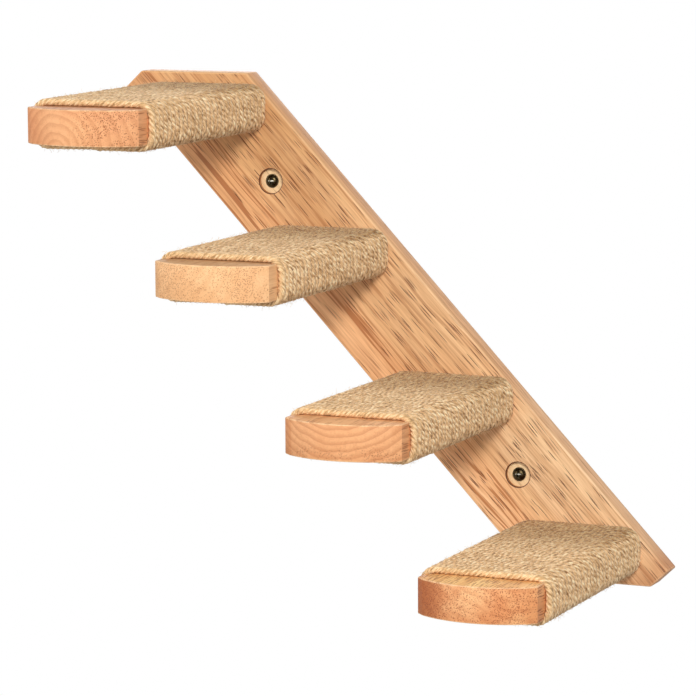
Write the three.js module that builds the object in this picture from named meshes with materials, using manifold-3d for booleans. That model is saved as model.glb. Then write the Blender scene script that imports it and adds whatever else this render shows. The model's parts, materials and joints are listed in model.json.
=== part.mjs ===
import * as THREE from 'three';
import { mergeVertices } from 'three/addons/utils/BufferGeometryUtils.js';
import Module from 'manifold-3d';

// Cat climbing steps: short boards stand out from a sloping back board that is screwed to a wall.
// Each board is wound with rope from the back board to its bare, bowed nose.
// Millimetres. X runs right along the wall, Y into the wall, Z up.
// The origin is the middle of the back board's rear face, which lies on the wall.

// Layout
const stepCount = 4;
const stepPitch = 140; // from one step's centre to the next, along the back board
const boardSlope = THREE.MathUtils.degToRad(46.6); // the back board's fall to the right
const fitGap = 0.3; // left between pieces that touch
const overrun = 2; // how far a cutter runs past the face that it opens
const visibleSides = 32; // of a round shape that shows
const hiddenSides = 16; // of a round shape inside the joints

// Back board
const boardWidth = 80;
const boardThickness = 18;
const boardEndMargin = 25; // straight up from an end step's centre line to the level cut
const boardCornerCut = 17; // taken off each sharp corner, along the board
const boardBevel = 1;

// Step boards
const stepWidth = 85;
const stepThickness = 25;
const wrapLength = 182; // the wound length, from the back board's face
const noseSide = 12.5; // the nose's straight side, from the rope to its cut corner
const noseCornerWidth = 5;
const noseCornerDepth = 5;
const noseBow = 11; // how far the nose's middle stands ahead of its ends
const stepBevel = 0.6;
const easedEdge = 3; // chamfer on the long edges under the rope
const noseArcSteps = 10;

// Rope
const ropeTurns = 22;
const ropeThickness = 4.2; // off the board's face
const turnGap = 0.5; // between two turns

// Wall screws, with pan heads in flat-bottomed sinks
const wallScrewRadius = 2.5;
const wallScrewLength = 50; // under the head
const wallScrewTip = 7;
const wallHeadRadius = 5;
const wallHeadHeight = 3;
const wallHeadRim = 0.7; // the head's straight edge, below its dome
const wallSinkRadius = 9;
const wallSinkDepth = 3;
const wallHolePlay = 0.3; // around the shank
const wallHoleDrop = 73; // from a step's centre to the hole below it, along the board
const holeBelowSteps = { upper: 0, lower: 2 }; // the steps, counted from zero, that have a hole below
const wallSlotLength = 6;
const wallSlotWidth = 1.3;
const wallSlotDepth = 2;

// Step screws, sunk into the back board's rear face
const stepScrewRadius = 2.25;
const stepScrewLength = 55;
const stepScrewTip = 6;
const stepHeadRadius = 4.5;
const stepHeadEdge = 0.4;
const stepHeadTaper = 2.4;
const stepHeadSink = 0.5; // below the rear face
const screwFromDowel = 16; // between the middles of a step's screw and dowel
const stepSlotLength = 5;
const stepSlotWidth = 1.2;
const stepSlotDepth = 1.6;

// Dowels
const dowelRadius = 4;
const dowelLength = 30;
const dowelInBoard = 12; // the depth of its hole in the back board
const dowelChamfer = 0.8;
const dowelFromSide = 8.5; // from a step's side to the dowel's middle

const halfStep = stepWidth / 2;
const dowelOffset = halfStep - dowelFromSide; // to each side of a step's middle
const stepScrewOffset = dowelOffset - screwFromDowel;
const halfThickness = stepThickness / 2;
const sides = { left: -1, right: 1 };

const wood = (color) => new THREE.MeshStandardMaterial({ color, roughness: 0.6, metalness: 0, flatShading: true });
const rope = () => new THREE.MeshStandardMaterial({ color: 0xc8a878, roughness: 0.95, metalness: 0, flatShading: true });
const metal = (color) => new THREE.MeshStandardMaterial({ color, roughness: 0.35, metalness: 0.9, flatShading: true });
const stepTones = [0xdfa469, 0xe4b47f, 0xdf9f68, 0xd7935f];

const wasm = await Module();
wasm.setup();

// A closed geometry as a solid that can be joined and cut.
function solidOf(geometry) {
  geometry.deleteAttribute('normal');
  geometry.deleteAttribute('uv');
  const merged = mergeVertices(geometry);
  const corners = [];
  for (let at = 0; at < merged.index.count; at += 3) {
    const [a, b, c] = [0, 1, 2].map((corner) => merged.index.getX(at + corner));
    if (a !== b && b !== c && c !== a) {
      corners.push(a, b, c);
    }
  }
  return new wasm.Manifold(new wasm.Mesh({
    numProp: 3,
    vertProperties: Float32Array.from(merged.attributes.position.array),
    triVerts: Uint32Array.from(corners),
  }));
}

function geometryOf(solid) {
  const mesh = solid.getMesh();
  const geometry = new THREE.BufferGeometry();
  geometry.setAttribute('position', new THREE.BufferAttribute(mesh.vertProperties, 3));
  geometry.setIndex(new THREE.BufferAttribute(mesh.triVerts, 1));
  geometry.computeVertexNormals();
  return geometry;
}

function cutAll(body, cutters) {
  return cutters.reduce((left, cutter) => left.subtract(cutter), body);
}

// A round solid about the Y axis, from a profile of [radius, y] pairs that starts and ends on the axis.
function turned(profile, roundSides) {
  return new THREE.LatheGeometry(profile.map(([radius, y]) => new THREE.Vector2(radius, y)), roundSides);
}

function placed(geometry, x, y, z) {
  return geometry.translate(x, y, z);
}

// A flat outline given a thickness, with all its edges bevelled inside the outline.
function bevelledPlate(shape, thickness, bevel, curveSegments) {
  return new THREE.ExtrudeGeometry(shape, {
    depth: thickness - 2 * bevel,
    bevelEnabled: true,
    bevelThickness: bevel,
    bevelSize: bevel,
    bevelOffset: -bevel,
    bevelSegments: 1,
    curveSegments,
  }).translate(0, 0, bevel);
}

// How far along the back board a step's centre lies from the board's middle.
function stepPlace(index) {
  return (index - (stepCount - 1) / 2) * stepPitch;
}

// Back board: its outline is drawn along the board and across it, then stood against the wall.
function boardOutline() {
  const halfWidth = boardWidth / 2;
  const cutHeight = stepPlace(stepCount - 1) * Math.sin(boardSlope) + boardEndMargin;
  const atCut = (across) => (across * Math.cos(boardSlope) + cutHeight) / Math.sin(boardSlope);
  const longCorner = atCut(halfWidth) - boardCornerCut;
  const cornerEnd = (longCorner * Math.sin(boardSlope) - cutHeight) / Math.cos(boardSlope);
  const lowerHalf = [
    [atCut(-halfWidth), -halfWidth],
    [longCorner, cornerEnd],
    [longCorner, halfWidth],
  ];
  const upperHalf = lowerHalf.map(([along, across]) => [-along, -across]);
  return new THREE.Shape([...lowerHalf, ...upperHalf].map(([along, across]) => new THREE.Vector2(along, across)));
}

// The hole for a countersunk step screw, from the rear face right through the back board.
function stepScrewHole() {
  const mouth = stepHeadRadius + fitGap;
  const shank = stepScrewRadius + fitGap;
  return turned([
    [0, -boardThickness - overrun],
    [shank, -boardThickness - overrun],
    [shank, -stepHeadSink - stepHeadEdge - stepHeadTaper - fitGap],
    [mouth, -stepHeadSink - stepHeadEdge - fitGap],
    [mouth, overrun],
    [0, overrun],
  ], hiddenSides);
}

// The sink and the through hole for a wall screw.
function wallScrewHole() {
  const floor = wallSinkDepth - boardThickness;
  const shank = wallScrewRadius + wallHolePlay;
  return turned([
    [0, -boardThickness - overrun],
    [wallSinkRadius, -boardThickness - overrun],
    [wallSinkRadius, floor],
    [shank, floor],
    [shank, overrun],
    [0, overrun],
  ], visibleSides);
}

// A blind dowel hole that opens at y = 0 and runs to the depth given, towards plus or minus Y.
function dowelHole(depth, towards) {
  const length = depth + overrun;
  const hole = new THREE.CylinderGeometry(dowelRadius + fitGap, dowelRadius + fitGap, length, hiddenSides);
  return hole.translate(0, towards * (depth - length / 2), 0);
}

function backBoard() {
  const plate = bevelledPlate(boardOutline(), boardThickness, boardBevel, 1).rotateX(Math.PI / 2);
  const cutters = [];
  for (let index = 0; index < stepCount; index += 1) {
    for (const side of Object.values(sides)) {
      // a step's own left and right run level, so they lie at a slant on the board
      const place = (geometry, offset, y) => placed(
        geometry,
        stepPlace(index) + side * offset * Math.cos(boardSlope),
        y,
        side * offset * Math.sin(boardSlope),
      );
      cutters.push(place(stepScrewHole(), stepScrewOffset, 0));
      cutters.push(place(dowelHole(dowelInBoard, 1), dowelOffset, -boardThickness));
    }
  }
  for (const index of Object.values(holeBelowSteps)) {
    cutters.push(placed(wallScrewHole(), stepPlace(index) + wallHoleDrop, 0, 0));
  }
  return geometryOf(cutAll(solidOf(plate), cutters.map(solidOf)));
}

// Step board: its outline is seen from above, with the rear end against the back board's face.
function stepOutline() {
  const noseHalf = halfStep - noseCornerWidth;
  const sideEnd = -wrapLength - noseSide;
  const cornerY = sideEnd - noseCornerDepth;
  const bowRadius = (noseHalf ** 2 + noseBow ** 2) / (2 * noseBow);
  const bowCentre = cornerY - noseBow + bowRadius;
  const bowHalfAngle = Math.asin(noseHalf / bowRadius);
  const down = -Math.PI / 2;
  const shape = new THREE.Shape();
  shape.moveTo(halfStep, -fitGap);
  shape.lineTo(-halfStep, -fitGap);
  shape.lineTo(-halfStep, sideEnd);
  shape.lineTo(-noseHalf, cornerY);
  shape.absarc(0, bowCentre, bowRadius, down - bowHalfAngle, down + bowHalfAngle, false);
  shape.lineTo(halfStep, sideEnd);
  shape.closePath();
  return shape;
}

// One of the four prisms that ease the long edges where the rope lies.
function easedEdgeCutter(sideX, sideZ) {
  const [outX, outZ] = [halfStep + overrun, halfThickness + overrun];
  const leg = easedEdge + 2 * overrun;
  const corner = new THREE.Shape([
    new THREE.Vector2(sideX * (outX - leg), sideZ * outZ),
    new THREE.Vector2(sideX * outX, sideZ * outZ),
    new THREE.Vector2(sideX * outX, sideZ * (outZ - leg)),
  ]);
  return new THREE.ExtrudeGeometry(corner, { depth: wrapLength + overrun, bevelEnabled: false })
    .rotateX(Math.PI / 2)
    .translate(0, overrun, 0);
}

// The rope's size along the step, and the route that it takes around it.
const turnPitch = (wrapLength - 2 * fitGap + turnGap) / (ropeTurns + 1);
const turnWidth = turnPitch - turnGap;
const ropeOff = fitGap + ropeThickness / 2; // from the board's face to the middle of the rope
const tailLength = ropeThickness / 2 + turnWidth;
const firstTurnY = -wrapLength + fitGap + turnWidth / 2;
const lastTurnY = -fitGap - turnWidth / 2;
const tailHoleTop = -halfThickness - ropeOff + tailLength + fitGap;

// The drilled hole near the nose that the rope's first end is tucked into.
function frontTailHole() {
  const radius = turnWidth / 2 + fitGap;
  const bottom = -halfThickness - overrun;
  return new THREE.CylinderGeometry(radius, radius, tailHoleTop - bottom, hiddenSides)
    .rotateX(Math.PI / 2)
    .translate(0, firstTurnY, (tailHoleTop + bottom) / 2);
}

// The notch at the rear end that traps the rope's last end against the back board.
function rearTailNotch() {
  const bottom = -halfThickness - overrun;
  const front = lastTurnY - turnWidth / 2 - fitGap;
  return new THREE.BoxGeometry(ropeThickness + 2 * fitGap, overrun - front, tailHoleTop - bottom)
    .translate(0, (overrun + front) / 2, (tailHoleTop + bottom) / 2);
}

function pilotHole() {
  const radius = stepScrewRadius + fitGap;
  const depth = stepScrewLength - boardThickness + stepHeadSink + fitGap;
  return new THREE.CylinderGeometry(radius, radius, depth + overrun, hiddenSides)
    .translate(0, (overrun - depth) / 2, 0);
}

function stepBoard() {
  const plate = bevelledPlate(stepOutline(), stepThickness, stepBevel, noseArcSteps).translate(0, 0, -halfThickness);
  const cutters = [frontTailHole(), rearTailNotch()];
  for (const sideX of Object.values(sides)) {
    cutters.push(placed(pilotHole(), sideX * stepScrewOffset, 0, 0));
    cutters.push(placed(dowelHole(dowelLength - dowelInBoard + fitGap, -1), sideX * dowelOffset, 0, 0));
    cutters.push(easedEdgeCutter(sideX, 1));
    cutters.push(easedEdgeCutter(sideX, -1));
  }
  return geometryOf(cutAll(solidOf(plate), cutters.map(solidOf)));
}

// The rope's way around the step, seen along it: eight corners from the middle of the underside.
function ropeCorners() {
  const halfX = halfStep + ropeOff;
  const halfZ = halfThickness + ropeOff;
  const leg = easedEdge + ropeOff * (2 - Math.SQRT2);
  return [
    [halfX - leg, -halfZ],
    [halfX, leg - halfZ],
    [halfX, halfZ - leg],
    [halfX - leg, halfZ],
    [leg - halfX, halfZ],
    [-halfX, halfZ - leg],
    [-halfX, leg - halfZ],
    [leg - halfX, -halfZ],
  ];
}

// Every turn moves along the step by the same pitch. Both ends turn up into the underside.
function ropeRoute() {
  const corners = ropeCorners();
  const under = -halfThickness - ropeOff;
  const route = [[0, under]];
  for (let turn = 0; turn < ropeTurns; turn += 1) {
    route.push(...corners);
  }
  route.push([0, under]);
  const lengths = [0];
  for (let at = 1; at < route.length; at += 1) {
    const [[x0, z0], [x1, z1]] = [route[at - 1], route[at]];
    lengths.push(lengths[at - 1] + Math.hypot(x1 - x0, z1 - z0));
  }
  const whole = lengths[lengths.length - 1];
  const points = route.map(([x, z], at) => {
    const y = firstTurnY + (lastTurnY - firstTurnY) * lengths[at] / whole;
    return new THREE.Vector3(x, y, z);
  });
  points.unshift(new THREE.Vector3(0, firstTurnY, under + tailLength));
  points.push(new THREE.Vector3(0, lastTurnY, under + tailLength));
  return points;
}

// The rope's flattened section at each corner of its route, in the plane that halves the bend.
function ropeRings(points) {
  const sectionSides = 6;
  const heading = (from, to) => Math.atan2(to.z - from.z, to.x - from.x);
  return points.map((point, at) => {
    const before = heading(points[Math.max(at - 1, 0)], points[Math.max(at, 1)]);
    const after = heading(points[Math.min(at, points.length - 2)], points[Math.min(at + 1, points.length - 1)]);
    const bend = Math.atan2(Math.sin(after - before), Math.cos(after - before));
    const outward = before + bend / 2 - Math.PI / 2;
    const stretch = 1 / Math.cos(bend / 2);
    const ring = [];
    for (let side = 0; side < sectionSides; side += 1) {
      const angle = (side / sectionSides) * 2 * Math.PI;
      const off = Math.sin(angle) * stretch * ropeThickness / (2 * Math.sin(Math.PI / 3));
      ring.push(new THREE.Vector3(
        point.x + Math.cos(outward) * off,
        point.y + Math.cos(angle) * turnWidth / 2,
        point.z + Math.sin(outward) * off,
      ));
    }
    return ring;
  });
}

function ropeWrap(rings) {
  const around = rings[0].length;
  const positions = rings.flat().flatMap((point) => point.toArray());
  const index = [];
  for (let at = 0; at < rings.length - 1; at += 1) {
    for (let side = 0; side < around; side += 1) {
      const next = (side + 1) % around;
      const [a, b] = [at * around + side, at * around + next];
      const [c, d] = [a + around, b + around];
      index.push(a, d, b, a, c, d);
    }
  }
  const last = (rings.length - 1) * around;
  for (let side = 1; side < around - 1; side += 1) {
    index.push(0, side, side + 1);
    index.push(last, last + side + 1, last + side);
  }
  const geometry = new THREE.BufferGeometry();
  geometry.setAttribute('position', new THREE.Float32BufferAttribute(positions, 3));
  geometry.setIndex(index);
  geometry.computeVertexNormals();
  return geometry;
}

// The least distance between the points of two rings that don't follow each other closely.
function leastGap(rings) {
  const apart = 3;
  let least = Infinity;
  for (let first = 0; first < rings.length; first += 1) {
    for (let second = first + apart; second < rings.length; second += 1) {
      for (const point of rings[first]) {
        for (const other of rings[second]) {
          least = Math.min(least, point.distanceTo(other));
        }
      }
    }
  }
  return least;
}

// A cross-shaped driver recess that opens at y = 0 and runs towards plus or minus Y.
function crossRecess(length, width, depth, towards) {
  const slot = (sizeX, sizeZ) => solidOf(new THREE.BoxGeometry(sizeX, depth + overrun, sizeZ)
    .translate(0, towards * (depth - overrun) / 2, 0));
  return slot(length, width).add(slot(width, length));
}

// A wall screw. The seat of its head is at y = 0, and its tip points into the wall.
function wallScrew() {
  const domeSteps = 5;
  const dome = [];
  for (let at = 0; at < domeSteps; at += 1) {
    const angle = (at / domeSteps) * Math.PI / 2;
    const rise = (wallHeadHeight - wallHeadRim) * Math.cos(angle);
    dome.push([wallHeadRadius * Math.sin(angle), -wallHeadRim - rise]);
  }
  const body = turned([
    ...dome,
    [wallHeadRadius, -wallHeadRim],
    [wallHeadRadius, 0],
    [wallScrewRadius, 0],
    [wallScrewRadius, wallScrewLength - wallScrewTip],
    [0, wallScrewLength],
  ], visibleSides);
  const recess = crossRecess(wallSlotLength, wallSlotWidth, wallSlotDepth, 1).translate([0, -wallHeadHeight, 0]);
  return geometryOf(solidOf(body).subtract(recess));
}

// A countersunk step screw. The top of its head is at y = 0, and its tip points into the step.
function stepScrew() {
  const body = turned([
    [0, -stepScrewLength],
    [stepScrewRadius, stepScrewTip - stepScrewLength],
    [stepScrewRadius, -stepHeadEdge - stepHeadTaper],
    [stepHeadRadius, -stepHeadEdge],
    [stepHeadRadius, 0],
    [0, 0],
  ], hiddenSides);
  return geometryOf(solidOf(body).subtract(crossRecess(stepSlotLength, stepSlotWidth, stepSlotDepth, -1)));
}

function dowel() {
  const narrow = dowelRadius - dowelChamfer;
  const body = turned([
    [0, 0],
    [narrow, 0],
    [dowelRadius, dowelChamfer],
    [dowelRadius, dowelLength - dowelChamfer],
    [narrow, dowelLength],
    [0, dowelLength],
  ], hiddenSides);
  return geometryOf(solidOf(body));
}

function named(name, geometry, material, x = 0, y = 0, z = 0) {
  const mesh = new THREE.Mesh(geometry, material);
  mesh.name = name;
  mesh.position.set(x, y, z);
  return mesh;
}

// The back board and its wall screws, turned to the board's slope.
function boardGroup() {
  const group = new THREE.Group();
  group.rotation.y = boardSlope;
  group.add(named('back_board', backBoard(), wood(0xd9a672)));
  const seat = wallSinkDepth - boardThickness - fitGap;
  for (const [place, index] of Object.entries(holeBelowSteps)) {
    const along = stepPlace(index) + wallHoleDrop;
    group.add(named(`wall_screw_${place}`, wallScrew(), metal(0x3a3226), along, seat, 0));
  }
  return group;
}

// One step, with what winds and fastens it. Its frame stands level on the back board's front face.
function stepGroup(index, rings) {
  const group = new THREE.Group();
  const along = stepPlace(index);
  const number = index + 1;
  group.position.set(along * Math.cos(boardSlope), -boardThickness, -along * Math.sin(boardSlope));
  group.add(named(`step_board_${number}`, stepBoard(), wood(stepTones[index % stepTones.length])));
  group.add(named(`rope_wrap_${number}`, ropeWrap(rings), rope()));
  const screwTop = boardThickness - stepHeadSink;
  const dowelTip = dowelInBoard - fitGap - dowelLength;
  for (const [side, sideX] of Object.entries(sides)) {
    group.add(named(
      `step_screw_${number}_${side}`, stepScrew(), metal(0xb8b4aa), sideX * stepScrewOffset, screwTop, 0,
    ));
    group.add(named(`step_dowel_${number}_${side}`, dowel(), wood(0xe2c79a), sideX * dowelOffset, dowelTip, 0));
  }
  return group;
}

const rings = ropeRings(ropeRoute());
console.log(`least gap between the rope's turns: ${leastGap(rings).toFixed(2)} mm`);

const steps = new THREE.Group();
steps.name = 'cat_climbing_steps';
steps.add(boardGroup());
for (let index = 0; index < stepCount; index += 1) {
  steps.add(stepGroup(index, rings));
}

export default steps;
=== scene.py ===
import json
import math
import bmesh
import bpy
import numpy as np
from mathutils import Euler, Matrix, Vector

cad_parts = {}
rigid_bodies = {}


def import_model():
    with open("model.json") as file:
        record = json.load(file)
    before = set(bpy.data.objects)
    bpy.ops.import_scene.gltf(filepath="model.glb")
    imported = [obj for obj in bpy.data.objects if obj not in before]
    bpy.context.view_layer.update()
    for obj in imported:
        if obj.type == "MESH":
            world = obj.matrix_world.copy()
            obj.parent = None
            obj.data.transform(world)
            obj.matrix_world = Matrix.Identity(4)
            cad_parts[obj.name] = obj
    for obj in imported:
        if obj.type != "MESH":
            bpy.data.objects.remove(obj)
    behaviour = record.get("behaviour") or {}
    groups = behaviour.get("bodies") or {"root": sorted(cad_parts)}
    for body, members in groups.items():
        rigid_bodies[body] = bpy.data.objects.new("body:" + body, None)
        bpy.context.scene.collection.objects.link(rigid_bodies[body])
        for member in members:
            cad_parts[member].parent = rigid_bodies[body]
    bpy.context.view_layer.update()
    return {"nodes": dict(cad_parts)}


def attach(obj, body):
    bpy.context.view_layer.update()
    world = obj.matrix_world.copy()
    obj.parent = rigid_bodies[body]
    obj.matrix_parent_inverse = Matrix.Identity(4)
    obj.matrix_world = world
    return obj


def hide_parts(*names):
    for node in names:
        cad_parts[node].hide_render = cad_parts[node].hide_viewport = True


# Cat climbing steps: a sloping back board on a wall, with four rope-wound steps
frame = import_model()

# Places that all the pieces share, in metres. The wall is the plane y = 0.
layout = {
    "slope": math.radians(46.6),  # the back board's fall to the right
    "stepPitch": 0.140,
    "stepCount": 4,
    "boardFront": -0.018,
    "seam": 0.0003,  # left between pieces that touch
    "screwOffset": 0.018,  # from a step's middle to its two screws
    "dowelOffset": 0.034,  # and to its two dowels
    "dowelHole": 0.0043,  # radius
}
alongBoard = Vector((math.cos(layout["slope"]), 0, -math.sin(layout["slope"])))
acrossBoard = Vector((math.sin(layout["slope"]), 0, math.cos(layout["slope"])))
middleStep = (layout["stepCount"] - 1) / 2
stepCentres = [alongBoard * layout["stepPitch"] * (number - middleStep) for number in range(layout["stepCount"])]


# Modelling helpers

modelling = {
    "sharpEdge": 12,  # degrees between two faces, from which an edge gets its bevel
    "aligned": 0.0001,  # two points that differ by less count as level on an axis
    "sliceWithin": 0.000001,
    "mergeWithin": 0.000002,
    "overrun": 0.002,  # how far the cutter of a blind hole runs past the face that it opens
}


def pickOnly(piece):
    bpy.ops.object.select_all(action="DESELECT")
    piece.select_set(True)
    bpy.context.view_layer.objects.active = piece


def settle(piece):
    pickOnly(piece)
    bpy.ops.object.transform_apply(location=True, rotation=True, scale=True)


def startEdit(piece, kind="VERT", action="SELECT"):
    pickOnly(piece)
    bpy.ops.object.mode_set(mode="EDIT")
    bpy.ops.mesh.select_mode(type=kind)
    bpy.ops.mesh.select_all(action=action)


def endEdit():
    bpy.ops.object.mode_set(mode="OBJECT")


def newest(name):
    piece = bpy.context.active_object
    piece.name = name
    return piece


def addBlock(name, centre, size, turn=(0, 0, 0)):
    bpy.ops.object.select_all(action="DESELECT")
    bpy.ops.mesh.primitive_cube_add(size=1, location=centre, rotation=turn)
    block = newest(name)
    block.scale = size
    settle(block)
    return block


def addRod(name, centre, radius, length, sides=24, turn=(math.pi / 2, 0, 0)):
    # it lies along Y unless another turn is given
    bpy.ops.object.select_all(action="DESELECT")
    bpy.ops.mesh.primitive_cylinder_add(vertices=sides, radius=radius, depth=length, location=centre, rotation=turn)
    rod = newest(name)
    settle(rod)
    return rod


def addBore(name, mouth, radius, depth, way):
    # the cutter of a blind hole, from its mouth towards plus or minus Y
    overrun = modelling["overrun"]
    middle = Vector(mouth) + Vector((0, way * (depth - overrun) / 2, 0))
    return addRod(name, middle, radius, depth + overrun)


def carve(piece, cutters, how="DIFFERENCE"):
    for cutter in cutters:
        pickOnly(piece)
        cut = piece.modifiers.new("carve", "BOOLEAN")
        cut.operation = how
        cut.solver = "EXACT"
        cut.object = cutter
        bpy.ops.object.modifier_apply(modifier=cut.name)
        bpy.data.objects.remove(cutter, do_unlink=True)


def sliceOff(piece, point, normal):
    startEdit(piece)
    bpy.ops.mesh.bisect(plane_co=point, plane_no=Vector(normal).normalized(), use_fill=True, clear_outer=True,
                        threshold=modelling["sliceWithin"])
    endEdit()


def bevelEdges(piece, width, wanted, segments=3):
    startEdit(piece, "EDGE", "DESELECT")
    shape = bmesh.from_edit_mesh(piece.data)
    for edge in shape.edges:
        first, second = (corner.co for corner in edge.verts)
        if edge.calc_face_angle(0) > math.radians(modelling["sharpEdge"]) and wanted(first, second):
            edge.select_set(True)
    bmesh.update_edit_mesh(piece.data)
    bpy.ops.mesh.bevel(offset=width, segments=segments, affect="EDGES")
    endEdit()


def turnProfile(name, profile, steps=32):
    # the profile is (radius, y) pairs, spun around the Y axis
    bpy.ops.object.select_all(action="DESELECT")
    bpy.ops.mesh.primitive_plane_add(size=0.001)
    piece = newest(name)
    startEdit(piece)
    bpy.ops.mesh.merge(type="CENTER")
    places = [Vector((radius, y, 0)) for radius, y in profile]
    bpy.ops.transform.translate(value=places[0])
    for here, there in zip(places, places[1:]):
        bpy.ops.mesh.extrude_region_move(TRANSFORM_OT_translate={"value": there - here})
    bpy.ops.mesh.select_all(action="SELECT")
    bpy.ops.mesh.spin(steps=steps, angle=2 * math.pi, center=(0, 0, 0), axis=(0, 1, 0))
    bpy.ops.mesh.select_all(action="SELECT")
    bpy.ops.mesh.remove_doubles(threshold=modelling["mergeWithin"])
    bpy.ops.mesh.normals_make_consistent(inside=False)
    endEdit()
    return piece


def addObject(name, data):
    made = bpy.data.objects.new(name, data)
    bpy.context.collection.objects.link(made)
    return made


def meshFromCurve(name, curve):
    pickOnly(addObject(name, curve))
    bpy.ops.object.convert(target="MESH")
    return bpy.context.active_object


def copyTo(piece, name, place):
    copy = addObject(name, piece.data.copy())
    copy.location = place
    settle(copy)
    return copy


def finish(piece, materials, nodes, smoothUnder=35):
    # smoothUnder is the angle, in degrees, up to which faces are shaded as one
    pickOnly(piece)
    bpy.ops.object.shade_smooth_by_angle(angle=math.radians(smoothUnder))
    piece.data.materials.clear()
    for material in materials:
        piece.data.materials.append(material)
    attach(piece, "root")
    if nodes:
        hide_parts(*nodes)


# Material helpers. Patterns are in cells to a metre, on the three axes of what they lie on.

def tint(red, green, blue):
    # a colour as read from a picture, 0 to 255; one that brightens what it multiplies goes beyond
    def linear(level):
        level /= 255
        return level / 12.92 if level <= 0.04045 else ((level + 0.055) / 1.055) ** 2.4
    return (linear(red), linear(green), linear(blue), 1)


def newMaterial(name):
    material = bpy.data.materials.new(name)
    material.use_nodes = True
    tree = material.node_tree
    return material, tree, tree.nodes["Principled BSDF"]


def addNode(tree, kind, inputs, **settings):
    made = tree.nodes.new(kind)
    for key, value in settings.items():
        setattr(made, key, value)
    for key, value in inputs.items():
        if isinstance(value, bpy.types.NodeSocket):
            tree.links.new(value, made.inputs[key])
        else:
            made.inputs[key].default_value = value
    return made


def calc(tree, how, first, second=0.0, third=0.0):
    return addNode(tree, "ShaderNodeMath", {0: first, 1: second, 2: third}, operation=how).outputs[0]


def spread(tree, value, low, high):
    # a soft step from 0 at the first place to 1 at the second
    return addNode(tree, "ShaderNodeMapRange", {"Value": value, "From Min": low, "From Max": high},
                   interpolation_type="SMOOTHSTEP").outputs[0]


def blend(tree, share, first, second, how="MIX"):
    return addNode(tree, "ShaderNodeMix", {0: share, 6: first, 7: second},
                   data_type="RGBA", blend_type=how).outputs[2]


def stain(tree, below, mask, share, tone, how="MIX"):
    return blend(tree, calc(tree, "MULTIPLY", mask, share), below, tone, how)


def calcVector(tree, how, *inputs):
    return addNode(tree, "ShaderNodeVectorMath", dict(enumerate(inputs)), operation=how).outputs[0]


def noise(tree, vector, scales, detail=2.0, rough=0.5, output="Fac"):
    place = calcVector(tree, "MULTIPLY", vector, scales)
    return addNode(tree, "ShaderNodeTexNoise", {"Vector": place, "Scale": 1.0, "Detail": detail,
                                                "Roughness": rough}).outputs[output]


def cells(tree, vector, scales):
    # distance from the nearest cell's middle, and that cell's own chance value
    place = calcVector(tree, "MULTIPLY", vector, scales)
    made = addNode(tree, "ShaderNodeTexVoronoi", {"Vector": place, "Scale": 1.0}).outputs
    return made["Distance"], addNode(tree, "ShaderNodeSeparateXYZ", {0: made["Color"]}).outputs[0]


def objectPlace(tree):
    return addNode(tree, "ShaderNodeTexCoord", {}).outputs["Object"]


def dress(tree, shader, look, colour, gloss, height):
    # the gloss pattern varies the roughness, and relief is how strong and how deep the bumps are
    strength, depth = look["relief"]
    bump = addNode(tree, "ShaderNodeBump", {"Strength": strength, "Distance": depth, "Height": height}).outputs[0]
    roughness = calc(tree, "MULTIPLY_ADD", gloss, look["roughnessSpread"], look["roughness"])
    for socket, value in (("Base Color", colour), ("Roughness", roughness), ("Normal", bump)):
        tree.links.new(value, shader.inputs[socket])
    shader.inputs["Specular IOR Level"].default_value = look["specular"]


# Wood: X runs along the grain once the mapping has turned it

woodGrain = {
    "wanderScale": (5, 26, 26),
    "ringWander": (3, 60, 60),
    "lateWood": (0.25, 0.9),  # where in a ring it darkens
    "ringEnd": (1.0, 0.93),  # where it turns pale again
    "band": (1.6, 42, 42), "bandEdges": (0.34, 0.66),
    "streak": (7, 420, 420), "streakEdges": (0.45, 0.75),
    "fine": (40, 1500, 1500), "fineEdges": (0.35, 0.7), "fineShare": 0.3, "fineRelief": 0.35,
    "line": (8, 760, 760), "lineEdges": (0.58, 0.66),
    "clumpFade": 0.14,
    "strayPores": 0.15,  # how dark the pores outside the clumps are
    "poreCore": 0.6,  # the part of a pore that is fully dark
    "roughnessSpread": 0.18, "relief": (0.45, 0.0003), "specular": 0.35,
}


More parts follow.
